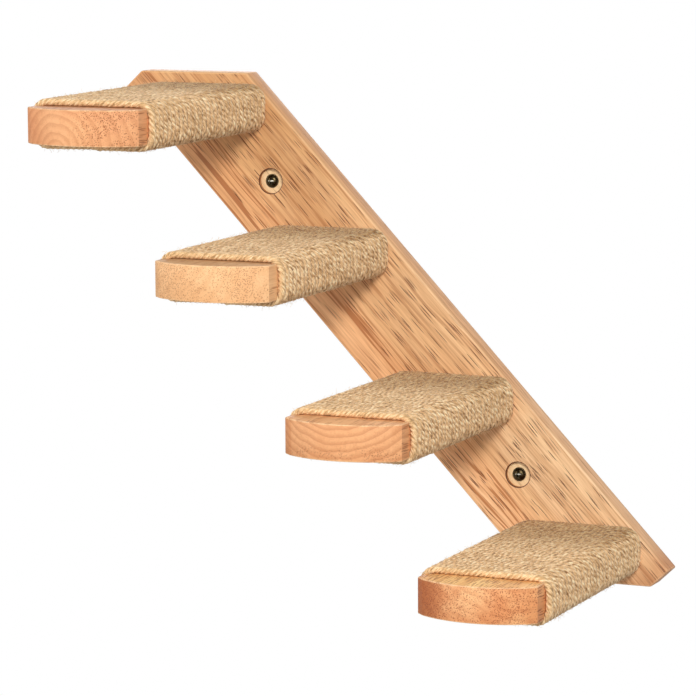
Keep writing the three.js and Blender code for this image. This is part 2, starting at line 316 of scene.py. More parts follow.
def woodMaterial(name, look):
    look = dict(woodGrain, **look)
    material, tree, shader = newMaterial(name)
    grain = addNode(tree, "ShaderNodeMapping", {"Vector": objectPlace(tree), "Rotation": look["turn"],
                                                "Location": look["shift"]}).outputs[0]
    wander = calcVector(tree, "SUBTRACT", noise(tree, grain, look["wanderScale"], output="Color"), (0.5, 0.5, 0.5))
    bent = calcVector(tree, "MULTIPLY_ADD", wander, (0, look["wander"], look["wander"]), grain)
    # growth rings around the heart of the tree
    across = calcVector(tree, "MULTIPLY", bent, (0, 1, 1))
    reach = addNode(tree, "ShaderNodeVectorMath", {0: across, 1: (0, *look["heart"])}, operation="DISTANCE")
    reach = calc(tree, "DIVIDE", reach.outputs["Value"], look["ringGap"])
    ring = calc(tree, "FRACT", calc(tree, "ADD", reach, noise(tree, bent, look["ringWander"], detail=1.0)))
    late = calc(tree, "MULTIPLY", spread(tree, ring, *look["lateWood"]), spread(tree, ring, *look["ringEnd"]))
    # broad bands, fine streaks, and open pores: short dark dashes along the grain, dots across it
    band = spread(tree, noise(tree, bent, look["band"]), *look["bandEdges"])
    streak = noise(tree, bent, look["streak"], detail=3.0, rough=0.6)
    fine = noise(tree, bent, look["fine"])
    clump = noise(tree, bent, look["clumpScale"], detail=1.0)
    clump = spread(tree, clump, look["clump"], look["clump"] + look["clumpFade"])
    distance, chance = cells(tree, bent, look["poreScale"])
    pore = spread(tree, distance, look["poreSize"], look["poreSize"] * look["poreCore"])
    pore = calc(tree, "MULTIPLY", pore, calc(tree, "LESS_THAN", chance, look["poreCount"]))
    stray = look["strayPores"]
    pore = calc(tree, "MULTIPLY", pore, calc(tree, "MULTIPLY_ADD", clump, 1 - stray, stray))
    dark = look["dark"]
    base = blend(tree, band, look["light"], look["mid"])
    base = stain(tree, base, spread(tree, streak, *look["streakEdges"]), look["streakShare"], dark)
    base = stain(tree, base, late, look["ringShare"], dark)
    axes = addNode(tree, "ShaderNodeSeparateXYZ", {0: bent}).outputs
    for patch in look["patches"]:
        mask = spread(tree, axes[patch["axis"]], patch["from"], patch["to"])
        if "lines" in patch:  # long thin dark lines run through it
            line = spread(tree, noise(tree, bent, look["line"], detail=0.0), *look["lineEdges"])
            base = stain(tree, base, calc(tree, "MULTIPLY", line, mask), patch["lines"], dark)
        if "pores" in patch:  # the pores show less outside it
            shown = calc(tree, "MULTIPLY_ADD", mask, patch["pores"], 1 - patch["pores"])
            pore = calc(tree, "MULTIPLY", pore, shown)
        if "tone" in patch:
            base = stain(tree, base, mask, patch["share"], patch["tone"], "MULTIPLY")
    base = stain(tree, base, spread(tree, fine, *look["fineEdges"]), look["fineShare"], dark)
    base = stain(tree, base, pore, look["poreShare"], look["poreTone"])
    height = calc(tree, "SUBTRACT", calc(tree, "MULTIPLY", fine, look["fineRelief"]), pore)
    dress(tree, shader, look, base, streak, height)
    return material


# A patch starts at one place on an axis of the grain and is full at another. Its tone multiplies the wood's.
boardLook = {
    "turn": (0, -layout["slope"], 0), "shift": (0.31, 0.02, 0.07),
    "wander": 0.012, "heart": (0.075, 0.045), "ringGap": 0.0085, "ringShare": 0.20,
    "light": tint(248, 202, 150), "mid": tint(232, 180, 126), "dark": tint(176, 112, 64),
    "streakShare": 0.50, "clump": 0.38, "clumpScale": (3, 130, 130),
    "poreScale": (44, 1450, 1450), "poreSize": 0.45, "poreCount": 0.36,
    "poreTone": tint(96, 42, 12), "poreShare": 1.0, "roughness": 0.48,
    "patches": [
        {"axis": 2, "from": 0.064, "to": 0.050, "share": 0.40, "tone": tint(246, 214, 198), "lines": 0.9},
        # painted shade: darker around the upper steps
        {"axis": 0, "from": 0.30, "to": 0.12, "share": 0.75, "tone": tint(236, 226, 210)},
        {"axis": 2, "from": 0.01, "to": 0.02, "lines": 0.45},
        # painted light: the lower part brighter
        {"axis": 0, "from": 0.385, "to": 0.44, "share": 0.9, "tone": tint(266, 275, 286)},
        {"axis": 0, "from": 0.548, "to": 0.572, "share": 0.7, "tone": tint(214, 182, 164)},
    ],
}
# the sinks' walls and rims are darker: partly burnished by the drill, partly painted shade in the recess and a
# painted shadow along the rim
sinkWallBurnishAndShadeLook = dict(boardLook, light=tint(190, 136, 88), mid=tint(170, 114, 68), dark=tint(120, 74, 40),
                    poreShare=0.3, patches=[])
boardLooks = {
    "back board wood": boardLook,
    "sink wall burnish and painted shade": sinkWallBurnishAndShadeLook,
    "sink floor wood": dict(boardLook, light=tint(250, 218, 170), mid=tint(244, 206, 156),
                            dark=tint(222, 178, 128), poreShare=0.3, patches=[]),
    "back board side": dict(boardLook, light=tint(242, 190, 140), mid=tint(232, 178, 128),
                            streakShare=0.3, poreShare=0.35),
    # the rounded edges are paler: partly wear and partly a painted highlight along the arris
    "back board edge wear and painted highlight": dict(boardLook, light=tint(250, 206, 156), mid=tint(242, 196, 146),
                                 dark=tint(212, 156, 106), streakShare=0.3, poreShare=0.35),
    "sink rim burnish and painted shadow": dict(sinkWallBurnishAndShadeLook, light=tint(104, 52, 24), mid=tint(86, 40, 16), dark=tint(54, 24, 8)),
}


# Back board

boardSizes = {
    "width": 0.080,
    "thickness": -layout["boardFront"],
    "blankLength": 0.62,  # before the ends are cut
    "halfHeight": 0.17758,  # up to the level cuts
    "cornerCut": 0.26523,  # from the middle, along the board, to the square trims
    "roundedEdge": 0.0012,
    "sinkRadius": 0.009,
    "sinkDepth": 0.003,
    "sinkRim": 0.0006,
    "shankHole": 0.0028,
    "wallHoleDrop": 0.073,  # from a step's centre, along the board
    "holesBelow": {"upper": 0, "lower": 2},  # the steps, counted from zero
    "sunkHole": [(0, 0.002), (0.0048, 0.002), (0.0048, -0.0009), (0.00255, -0.00335), (0.00255, -0.021),
                 (0, -0.021)],
    "dowelDepth": 0.012,
    "sinkCutter": 0.010,
    "shankCutter": 0.03,
}
wallHoles = {name: stepCentres[number] + alongBoard * boardSizes["wallHoleDrop"]
             for name, number in boardSizes["holesBelow"].items()}


def buildBackBoard(sizes):
    thick = sizes["thickness"]
    board = addBlock("back_board_wood", (0, -thick / 2, 0), (sizes["blankLength"], thick, sizes["width"]),
                     (0, layout["slope"], 0))
    for way in (1, -1):
        sliceOff(board, (0, 0, way * sizes["halfHeight"]), (0, 0, way))
        sliceOff(board, alongBoard * sizes["cornerCut"] * way, alongBoard * way)
    bevelEdges(board, sizes["roundedEdge"], lambda first, second: True)
    cutters = []
    for centre in wallHoles.values():
        sink = centre + Vector((0, sizes["sinkDepth"] - thick - sizes["sinkCutter"] / 2, 0))
        cutters.append(addRod("sink", sink, sizes["sinkRadius"], sizes["sinkCutter"], sides=96))
        shank = centre + Vector((0, -thick / 2, 0))
        cutters.append(addRod("shank hole", shank, sizes["shankHole"], sizes["shankCutter"], sides=48))
    for centre in stepCentres:
        for way in (1, -1):
            sunkHole = turnProfile("sunk hole", sizes["sunkHole"])
            sunkHole.location = centre + Vector((way * layout["screwOffset"], 0, 0))
            settle(sunkHole)
            cutters.append(sunkHole)
            mouth = centre + Vector((way * layout["dowelOffset"], -thick, 0))
            cutters.append(addBore("dowel hole", mouth, layout["dowelHole"], sizes["dowelDepth"], 1))
    carve(board, cutters)

    # the sinks' rims lose their sharp edge
    nearFace, nearRim = 0.00001, 0.00005

    def onRim(point):
        return abs(point.y + thick) < nearFace and any(
            abs((point - centre).xz.length - sizes["sinkRadius"]) < nearRim for centre in wallHoles.values())

    bevelEdges(board, sizes["sinkRim"], lambda first, second: onRim(first) and onRim(second), segments=2)
    return board


def paintBackBoard(board, sizes):
    # each face gets the number of its look, from its slant and its place
    woods = {name: number for number, name in enumerate(boardLooks)}
    front = -sizes["thickness"]
    flat = 0.995  # the cosine from which a face counts as square to a direction
    floorFlat = 0.9
    wallReach, wallTop, floorBottom = 0.00005, 0.0003, 0.0040
    rimReach, rimBottom = 0.0007, 0.0010
    squareWays = (alongBoard, acrossBoard, Vector((0, 1, 0)), Vector((0, 0, 1)))
    for face in board.data.polygons:
        # rounded edges get wear and a painted highlight
        if max(abs(face.normal.dot(way)) for way in squareWays) < flat:
            face.material_index = woods["back board edge wear and painted highlight"]
        elif abs(face.normal.dot(acrossBoard)) > flat:
            face.material_index = woods["back board side"]
        for centre in wallHoles.values():
            pastSink = (face.center - centre).xz.length - sizes["sinkRadius"]
            depth = face.center.y - front
            # the sinks' darker walls and rims hold burnish and painted shade
            if pastSink < wallReach and wallTop < depth < floorBottom:
                onFloor = abs(face.normal.y) > floorFlat
                face.material_index = woods["sink floor wood" if onFloor else "sink wall burnish and painted shade"]
            elif pastSink < rimReach and depth < rimBottom and abs(face.normal.y) < flat:
                face.material_index = woods["sink rim burnish and painted shadow"]


backBoard = buildBackBoard(boardSizes)
boardWoods = [woodMaterial(name, look) for name, look in boardLooks.items()]
finish(backBoard, boardWoods, ["back_board"])
paintBackBoard(backBoard, boardSizes)
print("back board made")


# Step boards

stepSizes = {
    "width": 0.085,
    "thickness": 0.025,
    "woundLength": 0.182,
    "side": 0.0125,  # bare and straight, from the rope to the cut corner
    "cornerWidth": 0.005,
    "cornerDepth": 0.005,
    "bow": 0.011,
    "noseBlank": 0.033,  # before the bow and the corners are cut
    "bowCutter": 0.06,
    "underRope": 0.0070,  # rounding of the long edges where the rope lies
    "softEdge": 0.0007,
    "lap": 0.001,  # how far the part under the rope runs into the nose
    "shy": 0.0001,  # how much narrower and thinner it is, so that no faces coincide
    "pilotHole": 0.00255,  # radius
    "pilotDepth": 0.0378,
    "dowelDepth": 0.0183,
    "tailDepth": 0.0105,  # of the hole and the notch in the underside, for the rope's ends
    "tailRadius": 0.0041,
    "tailPlace": (-0.001, 0.0032),  # across, and back from where the rope starts
    "notchSize": (0.0075, 0.0085),
    "notchPlace": (0.001, -0.0025),  # across, and from the rear end
}


def buildStep(sizes):
    shoulder = layout["boardFront"] - sizes["woundLength"]
    rearEnd = layout["boardFront"] - layout["seam"]
    sideEnd = shoulder - sizes["side"]
    noseHalf = sizes["width"] / 2 - sizes["cornerWidth"]
    bowRadius = (noseHalf ** 2 + sizes["bow"] ** 2) / (2 * sizes["bow"])
    bowCentre = sideEnd - sizes["cornerDepth"] - sizes["bow"] + bowRadius
    upright = (0, 0, 0)
    # the bare nose: a block with a bowed front and two cut corners
    nose = addBlock("nose", (0, shoulder - sizes["noseBlank"] / 2, 0),
                    (sizes["width"], sizes["noseBlank"], sizes["thickness"]))
    bow = addRod("bow", (0, bowCentre, 0), bowRadius, sizes["bowCutter"], sides=256, turn=upright)
    carve(nose, [bow], "INTERSECT")
    for way in (1, -1):
        sliceOff(nose, (way * sizes["width"] / 2, sideEnd, 0),
                 (way * sizes["cornerDepth"], -sizes["cornerWidth"], 0))
    bevelEdges(nose, sizes["softEdge"], lambda first, second: abs(first.z - second.z) < modelling["aligned"])
    # the rest, with its long edges rounded for the rope
    shank = addBlock("shank", (0, (rearEnd + shoulder - sizes["lap"]) / 2, 0),
                     (sizes["width"] - sizes["shy"], rearEnd - shoulder + sizes["lap"],
                      sizes["thickness"] - sizes["shy"]))
    bevelEdges(shank, sizes["underRope"], lambda first, second: abs(first.y - second.y) > modelling["aligned"],
               segments=5)
    carve(shank, [nose], "UNION")
    shank.name = "step_wood"
    # holes for the rope's two ends, and for the screws and dowels
    tailX, tailY = sizes["tailPlace"]
    notchX, notchY = sizes["notchPlace"]
    under, tall = -sizes["thickness"] / 2, 2 * sizes["tailDepth"]
    cutters = [
        addRod("tail hole", (tailX, shoulder + tailY, under), sizes["tailRadius"], tall, turn=upright),
        addBlock("tail notch", (notchX, rearEnd + notchY, under), (*sizes["notchSize"], tall)),
    ]
    for way in (1, -1):
        for name, offset, radius, depth in (
                ("pilot", layout["screwOffset"], sizes["pilotHole"], sizes["pilotDepth"]),
                ("dowel hole", layout["dowelOffset"], layout["dowelHole"], sizes["dowelDepth"])):
            cutters.append(addBore(name, (way * offset, rearEnd, 0), radius, depth, -1))
    carve(shank, cutters)
    return shank


# Four boards of one kind of wood, each with its own tone and rings. Hearts and patches are given
# from the middle of the step's section: axis 1 is to its left and axis 2 up. Top multiplies the
# tones of the level faces: the long grain's own tone, with painted shade from the rope on steps 1
# and 2 and painted light on steps 3 and 4.
plainStep = {
    "turn": (0, 0, -math.pi / 2), "wander": 0.004, "heart": (0, 0.05), "ringGap": 0.0042, "ringShare": 0.3,
    "light": tint(240, 180, 130), "mid": tint(230, 166, 116), "dark": tint(200, 130, 82),
    "streakShare": 0.3, "clump": 0.40, "clumpScale": (9, 70, 70),
    "poreScale": (70, 1050, 1050), "poreSize": 0.46, "poreCount": 0.8,
    "poreTone": tint(158, 92, 50), "poreShare": 0.7, "roughness": 0.5, "patches": [],
}
stepLooks = [
    dict(plainStep, heart=(0.013, -0.017), ringGap=0.0056, ringShare=0.42,
         light=tint(244, 182, 130), mid=tint(234, 168, 118), clump=0.34, poreShare=0.95, top=(0.80, 0.80, 0.79),
         patches=[{"axis": 1, "from": 0.004, "to": -0.012, "pores": 0.9},
                  {"axis": 1, "from": 0.020, "to": 0.042, "share": 0.5, "tone": tint(246, 214, 200)}]),
    dict(plainStep, heart=(0.07, 0.05), ringGap=0.0085, ringShare=0.2, light=tint(250, 200, 147),
         mid=tint(240, 186, 132), dark=tint(214, 150, 98), clump=0.34, poreShare=0.6, top=(0.70, 0.69, 0.66)),
    dict(plainStep, heart=(0, 0.061), ringGap=0.0050, ringShare=0.55, light=tint(240, 178, 126),
         mid=tint(230, 164, 112), top=(1.06, 1.14, 1.12),
         patches=[{"axis": 2, "from": 0.0, "to": -0.008, "pores": 0.8},
                  {"axis": 1, "from": 0.0345, "to": 0.0355, "share": 0.6, "tone": tint(238, 220, 206)}]),
    dict(plainStep, heart=(-0.05, 0.09), ringGap=0.0062, ringShare=0.25, light=tint(250, 192, 136),
         mid=tint(228, 154, 100), dark=tint(188, 112, 66), clump=0.30, poreTone=tint(150, 76, 40), poreShare=0.8,
         top=(1.16, 1.40, 1.28),
         patches=[{"axis": 1, "from": 0.012, "to": 0.036, "share": 0.85, "tone": tint(190, 150, 112)},
                  {"axis": 1, "from": -0.012, "to": -0.030, "share": 0.5, "tone": tint(255, 250, 238)}]),
]
stepFaces = ("end grain", "top", "edge wear and painted highlight", "side")


def stepWoods(number, centre):
    apart = 1.7  # metres between two steps in the pattern, so that none repeats another
    endLook = dict(stepLooks[number - 1], shift=(apart * number, centre.x, -centre.z))
    plainLook = dict(endLook, patches=[])
    # the level faces: the long grain's own tone, with painted shade or painted light
    topGrainLightAndShade = {key: tuple(level * part for level, part in zip(endLook[key], (*endLook["top"], 1)))
                for key in ("light", "mid", "dark")}
    looks = (endLook, dict(plainLook, **topGrainLightAndShade),
             # the bevels' lighter tones are partly wear and partly a painted highlight
             dict(plainLook, light=tint(255, 214, 164), mid=tint(250, 202, 150), poreShare=0.3), plainLook)
    return [woodMaterial("step %d %s" % (number, part), look) for part, look in zip(stepFaces, looks)]


def paintStep(step, sizes):
    # the nose's small bevels are paler, partly from wear and partly a painted highlight, and those under the rope
    # don't show
    flat, slanted, near = 0.97, 0.1, 0.0002
    noseFrom = layout["boardFront"] - sizes["woundLength"] - near
    for face in step.data.polygons:
        part = "end grain"
        if abs(face.normal.z) > flat:
            part = "top"
        elif abs(face.normal.x) > flat:
            part = "side"
        elif face.center.y < noseFrom and abs(face.normal.z) > slanted:
            part = "edge wear and painted highlight"
        face.material_index = stepFaces.index(part)


stepPattern = buildStep(stepSizes)
for number, centre in enumerate(stepCentres, 1):
    step = copyTo(stepPattern, "step_%d_wood" % number, centre)
    finish(step, stepWoods(number, centre), ["step_board_%d" % number], smoothUnder=25)
    paintStep(step, stepSizes)
bpy.data.objects.remove(stepPattern, do_unlink=True)
print("step boards made")


# Rope

ropeSizes = {
    "turns": 30,
    "strands": 3,
    "strandRadius": 0.00145,
    "strandOffset": 0.00165,  # from the rope's middle to each strand's
    "waist": 0.00260,
    "sectionSides": 15,
    "off": 0.0025,  # from the board's face to the rope's middle
    "bend": 0.0098,  # radius of the rope's middle at the board's corners
    "bendPoints": 40,
    "lay": 0.0106,  # one full twist of the strands
    "sample": 0.00115,
    # spacing along the rope and size, of how far it strays
    "strayTwist": (0.11, 8),  # so that neighbouring turns don't line up
    "strayAlong": (0.034, 0.00028),
    "strayOut": (0.021, 0.00018),
    "turnOn": 0.15,  # the share of a turn, before and after the underside's middle, in which it moves on
    "closest": 0.00012,  # to the wood
    "proud": 0.0043,  # above this the rope is pressed flatter
    "press": 0.65,
    "tail": [(-0.0012, 0.0085), (-0.0012, 0.006), (-0.0011, 0.0035), (-0.0004, 0.0016), (0.0010, 0.0004)],
    "tailGap": 0.003,  # between a tail and the first point of the winding
    "freePoints": 8,  # at each end, which aren't pressed
    "backShadeFrom": -0.135,  # along the step: painted shade, the top is darker and greyer from here to the back board
    "backShadeWithin": 0.09,
    "topWithin": 0.003,
    "crestPower": 0.8,
    "paleTurns": (1.6, 0.7),  # how pale the rope starts, and what it loses of that with each turn
}
ropeLook = {
    "fibre": (320, 1500, 1500), "lock": (260, 700, 700), "cloud": (38, 38, 38), "speck": (420, 120, 420),
    "lockChance": 0.45, "lockLevel": 0.75,
    "crestLitShare": 0.42, "lockShare": 0.80, "fibreShare": 1.2, "speckShare": 0.8, "level": -1.15,
    # the ramp holds the jute's own tones, with painted shade at its dark end and painted highlight at its bright
    # end
    "ramp": [(0.0, tint(140, 100, 60)), (0.35, tint(204, 162, 114)), (0.65, tint(238, 198, 150)),
             (1.0, tint(255, 236, 194))],
    "cloudEdges": (0.5, 0.8), "cloudShare": 0.3, "cloudTone": tint(200, 162, 114),
    # painted shade on the top near the back board, and the paler first turns
    "backShadeShare": 0.85, "backShadeTone": tint(198, 186, 166), "paleShare": 0.2, "paleTone": tint(255, 216, 158),
    "roughness": 0.78, "roughnessSpread": 0.15, "relief": (0.7, 0.0004),
    "specular": 0.2, "sheen": 0.15, "sheenRoughness": 0.5,
}


def ropeMaterial(look):
    material, tree, shader = newMaterial("jute rope")
    strand = addNode(tree, "ShaderNodeAttribute", {}, attribute_name="ropeGrain").outputs["Vector"]
    crestLit, backShadeAndPaleStart = (addNode(tree, "ShaderNodeAttribute", {}, attribute_name=name).outputs["Fac"]
                  for name in ("ropeCrestLit", "ropeBackShadeAndPaleStart"))
    place = objectPlace(tree)
    fibre = noise(tree, strand, look["fibre"], rough=0.6)
    distance, chance = cells(tree, strand, look["lock"])
    lock = calc(tree, "MULTIPLY_ADD", chance, look["lockChance"],
                calc(tree, "SUBTRACT", look["lockLevel"], distance))
    cloud = spread(tree, noise(tree, place, look["cloud"]), *look["cloudEdges"])
    speck = noise(tree, place, look["speck"], rough=0.7)
    # the strand's crest (painted light, and painted shade in the crevices), its locks of fibre, single fibres and
    # specks, with a mean of about one half
    level = look["level"]
    for part, share in ((crestLit, "crestLitShare"), (lock, "lockShare"), (fibre, "fibreShare"), (speck, "speckShare")):
        level = calc(tree, "MULTIPLY_ADD", part, look[share], level)
    ramp = addNode(tree, "ShaderNodeValToRGB", {"Fac": level})
    bar = ramp.color_ramp
    while len(bar.elements) < len(look["ramp"]):
        bar.elements.new(0.5)
    for element, (at, colour) in zip(bar.elements, look["ramp"]):
        element.position = at
        element.color = colour
    colour = stain(tree, ramp.outputs[0], cloud, look["cloudShare"], look["cloudTone"])
    # painted shade: darker and greyer on top near the back board
    colour = stain(tree, colour, spread(tree, backShadeAndPaleStart, 0.0, 1.0), look["backShadeShare"], look["backShadeTone"], "MULTIPLY")
    colour = stain(tree, colour, spread(tree, backShadeAndPaleStart, 0.0, -1.0), look["paleShare"], look["paleTone"])
    dress(tree, shader, look, colour, fibre, calc(tree, "ADD", fibre, lock))
    shader.inputs["Sheen Weight"].default_value = look["sheen"]
    shader.inputs["Sheen Roughness"].default_value = look["sheenRoughness"]
    return material


def runLengths(points):
    return np.concatenate([[0], np.cumsum(np.linalg.norm(np.diff(points, axis=0), axis=1))])


def roundLoop(halfX, halfZ, bend, bendPoints):
    # once around, from the middle of the underside towards +X
    farX, farZ = halfX - bend, halfZ - bend
    points, normals = [(0.0, -halfZ)], [(0.0, -1.0)]
    for x, z, start in ((farX, -farZ, -90), (farX, farZ, 0), (-farX, farZ, 90), (-farX, -farZ, 180)):
        for angle in np.radians(np.linspace(start, start + 90, bendPoints)):
            points.append((x + bend * math.cos(angle), z + bend * math.sin(angle)))
            normals.append((math.cos(angle), math.sin(angle)))
    points, normals = np.array(points + points[:1]), np.array(normals + normals[:1])
    return runLengths(points), points, normals


def softNoise(chance, lengths, spacing, size):
    # smooth random values along a length
    count = int(lengths[-1] / spacing) + 4
    values = chance.normal(0, 1, count)
    return size * np.interp(lengths, np.arange(count) * spacing, np.convolve(values, [0.25, 0.5, 0.25], "same"))


def ropeSection(sizes):
    angles = np.arange(sizes["sectionSides"]) * 2 * math.pi / sizes["sectionSides"]
    share = 2 * math.pi / sizes["strands"]
    off = np.mod(angles + share / 2, share) - share / 2  # from the nearest strand's middle
    room = sizes["strandRadius"] ** 2 - (sizes["strandOffset"] * np.sin(off)) ** 2
    return angles, np.maximum(sizes["strandOffset"] * np.cos(off) + np.sqrt(np.maximum(room, 0)), sizes["waist"])


def woodDistance(x, z, sizes):
    # distance out from the step's rounded section, and the way out
    halfX, halfZ, radius = sizes["width"] / 2, sizes["thickness"] / 2, sizes["underRope"]
    dx, dz = np.abs(x) - (halfX - radius), np.abs(z) - (halfZ - radius)
    outX, outZ = np.maximum(dx, 0), np.maximum(dz, 0)
    outer = np.hypot(outX, outZ)
    tiny = 1e-9
    inside = outer < tiny
    wayX = np.where(inside, (dx > dz) * 1.0, outX / np.maximum(outer, tiny)) * np.sign(x)
    wayZ = np.where(inside, (dx <= dz) * 1.0, outZ / np.maximum(outer, tiny)) * np.sign(z)
    return outer + np.minimum(np.maximum(dx, dz), 0) - radius, wayX, wayZ


def ropeRoute(chance, sizes):
    # the rope's middle, on a step whose centre is the origin, and the length of one turn
    halfX = stepSizes["width"] / 2 + sizes["off"]
    halfZ = stepSizes["thickness"] / 2 + sizes["off"]
    loopLengths, loopPoints, loopNormals = roundLoop(halfX, halfZ, sizes["bend"], sizes["bendPoints"])
    loop = loopLengths[-1]
    reach = sizes["strandRadius"] + sizes["strandOffset"]
    firstY = layout["boardFront"] - stepSizes["woundLength"] + layout["seam"] + reach
    lastY = layout["boardFront"] - layout["seam"] - reach
    total = loop * sizes["turns"]
    lengths = np.arange(sizes["tailGap"], total - sizes["tailGap"], sizes["sample"])
    onLoop = np.mod(lengths, loop)
    lift = softNoise(chance, lengths, *sizes["strayOut"])
    sway = softNoise(chance, lengths, *sizes["strayAlong"])
    ease = np.clip(np.minimum(lengths, total - lengths) / loop, 0, 1)
    x, z = (np.interp(onLoop, loopLengths, loopPoints[:, axis])
            + lift * np.interp(onLoop, loopLengths, loopNormals[:, axis]) for axis in (0, 1))
    # the turns lie square to the step on its top and sides, and move on by one along its underside
    turns = np.arange(sizes["turns"])
    level = turns / (sizes["turns"] - 1)
    moved = np.column_stack([turns / sizes["turns"], level, level]).ravel()
    at = np.column_stack([turns, turns + sizes["turnOn"], turns + 1 - sizes["turnOn"]]).ravel()
    y = firstY + (lastY - firstY) * np.interp(lengths / loop, np.append(at, sizes["turns"]), np.append(moved, 1))
    # both ends turn up into the underside
    first = [(tailX, firstY, -halfZ + tailZ) for tailX, tailZ in sizes["tail"]]
    last = [(-tailX, lastY, -halfZ + tailZ) for tailX, tailZ in reversed(sizes["tail"])]
    return np.array(first + list(zip(x, y + sway * ease, z)) + last), loop


def sweepSection(name, route, twist, angles, radii):
    # the strands' outline turns as it follows the route
    section = bpy.data.curves.new("rope section", "CURVE")
    outline = section.splines.new("POLY")
    outline.points.add(len(angles) - 1)
    for point, angle, radius in zip(outline.points, angles, radii):
        point.co = (radius * math.cos(angle), radius * math.sin(angle), 0, 1)
    outline.use_cyclic_u = True
    sectionObject = addObject("rope section", section)
    curve = bpy.data.curves.new(name, "CURVE")
    curve.dimensions = "3D"
    curve.bevel_mode = "OBJECT"
    curve.bevel_object = sectionObject
    spline = curve.splines.new("POLY")
    spline.points.add(len(route) - 1)
    spline.points.foreach_set("co", np.column_stack([route, np.ones(len(route))]).ravel())
    spline.points.foreach_set("tilt", twist)
    rope = meshFromCurve(name, curve)
    bpy.data.objects.remove(sectionObject, do_unlink=True)
    return rope


def buildRope(name, centre, sizes, seed):
    chance = np.random.default_rng(seed)
    route, loop = ropeRoute(chance, sizes)
    steps = runLengths(route)  # from the rope's start to each of its points
    twist = -2 * math.pi * steps / sizes["lay"] + softNoise(chance, steps, *sizes["strayTwist"])
    angles, radii = ropeSection(sizes)
    rope = sweepSection(name, route, twist, angles, radii)

    # pressed against the board, and a little flattened on the outside
    mesh = rope.data
    points = np.empty(len(mesh.vertices) * 3)
    mesh.vertices.foreach_get("co", points)
    points = points.reshape(-1, 3)
    ring = np.minimum(np.arange(len(points)) // len(angles), len(route) - 1)
    far, wayX, wayZ = woodDistance(points[:, 0], points[:, 2], stepSizes)
    wanted = np.maximum(far, sizes["closest"])
    wanted = np.where(wanted > sizes["proud"], sizes["proud"] + (wanted - sizes["proud"]) * sizes["press"], wanted)
    held = (ring >= sizes["freePoints"]) & (ring < len(route) - sizes["freePoints"])
    shift = np.where(held, wanted - far, 0)
    offRoute = points - route[ring]
    points[:, 0] += shift * wayX
    points[:, 2] += shift * wayZ
    mesh.vertices.foreach_set("co", (points + np.array(centre)).ravel())

    # where each point lies on its strand, for the material, whose pattern turns half as fast as the rope
    apart = 11  # metres between two ropes in the pattern, so that none repeats another
    angle = np.tile(angles, len(route))
    onStrand = angle - 0.5 * twist[ring]
    radius = np.linalg.norm(offRoute, axis=1)
    grain = np.column_stack([steps[ring] + apart * seed, radius * np.cos(onStrand), radius * np.sin(onStrand)])
    # painted light and shade: crests of the strands lighter, crevices between them darker
    crestLit = np.abs(np.cos(angle * sizes["strands"] / 2)) ** sizes["crestPower"]
    # painted shade: darker on top near the back board; and paler on the first turn
    onTop = np.clip((points[:, 2] - stepSizes["thickness"] / 2) / sizes["topWithin"], 0, 1)
    startPale, fade = sizes["paleTurns"]
    backShadeAndPaleStart = onTop * np.clip((points[:, 1] - sizes["backShadeFrom"]) / sizes["backShadeWithin"], 0, 1)
    backShadeAndPaleStart -= np.clip(startPale - fade * steps[ring] / loop, 0, 1)
    for key, kind, field, values in (("ropeGrain", "FLOAT_VECTOR", "vector", grain.ravel()),
                                     ("ropeCrestLit", "FLOAT", "value", crestLit), ("ropeBackShadeAndPaleStart", "FLOAT", "value", backShadeAndPaleStart)):
        mesh.attributes.new(key, kind, "POINT").data.foreach_set(field, values)
    mesh.update()
    startEdit(rope)
    bpy.ops.mesh.fill_holes(sides=0)
    bpy.ops.mesh.normals_make_consistent(inside=False)
    endEdit()
    return rope, route


# Loose fibres that stand off the rope

fuzzSizes = {
    "firstSeed": 40,
    "count": 2600,
    "length": (0.002, 0.007),
    "lengthShare": (0.4, 1),  # a second draw, which makes short ones more common
    "thickness": 0.00007,
    "points": 4,
    "start": 0.0026,  # from the rope's middle
    "freePoints": 12,  # at each end of the rope, which have none
    "flatHalf": 0.036,  # of the step's width, within which they rise straight up or down
    "rise": (0.05, 0.5),
    "lean": 0.7,  # to the neighbouring turns
    "startLean": 0.6,
    "trail": 1.1,  # along the rope
    "curl": 0.35,
    "mergeWithin": 0.0000001,
}
fuzzLook = {"scale": (300, 300, 300), "dark": tint(214, 178, 130), "light": tint(248, 222, 180),
            "roughness": 0.7, "roughnessSpread": 0.2, "relief": (0.2, 0.0001), "specular": 0.2}


def fuzzMaterial(look):
    material, tree, shader = newMaterial("loose jute fibre")
    tone = noise(tree, objectPlace(tree), look["scale"], detail=1.0)
    dress(tree, shader, look, blend(tree, tone, look["dark"], look["light"]), tone, tone)
    return material


